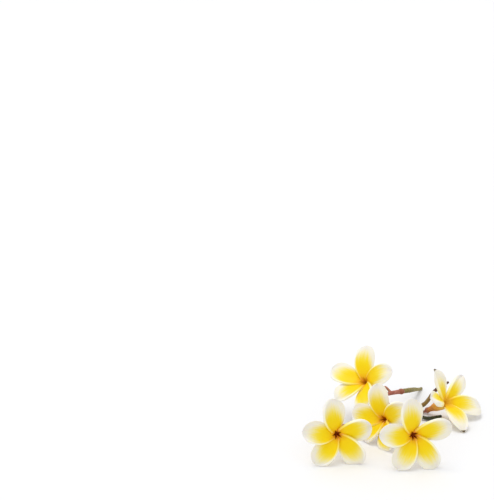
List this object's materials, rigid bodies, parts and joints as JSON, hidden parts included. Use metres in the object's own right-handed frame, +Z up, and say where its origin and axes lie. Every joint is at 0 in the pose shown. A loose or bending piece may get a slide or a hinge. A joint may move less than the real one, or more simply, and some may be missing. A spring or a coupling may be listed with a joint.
{
  "type": "plumeria flower cluster",
  "caption": "Cluster of open plumeria blooms with waxy pinwheel petals on a short branched stalk, picked and lying on a flat surface",
  "frame": {"origin": "on the surface that the cluster lies on, under the middle of its outline", "axes": "+Z is up, the front blooms look towards -Y, and +X is to their right as seen from the front"},
  "size_m": [0.1912, 0.1842, 0.0743],
  "materials": {
    "petal": "waxy petal, yellow at the heart and cream at the margin",
    "young_stalk": "smooth pink young stalk",
    "ripe_stalk": "smooth olive-green stalk"
  },
  "bodies": {
    "root": {"corolla_top": "petal", "corolla_middle": "petal", "corolla_lower_left": "petal", "corolla_lower_middle": "petal", "corolla_right": "petal", "pedicel_top": "young_stalk", "pedicel_middle": "young_stalk", "pedicel_lower_left": "young_stalk", "pedicel_lower_middle": "young_stalk", "pedicel_right": "young_stalk", "flower_axis": "young_stalk", "peduncle": "ripe_stalk", "upper_spur": "ripe_stalk", "lower_spur": "ripe_stalk"}
  },
  "joints": []
}
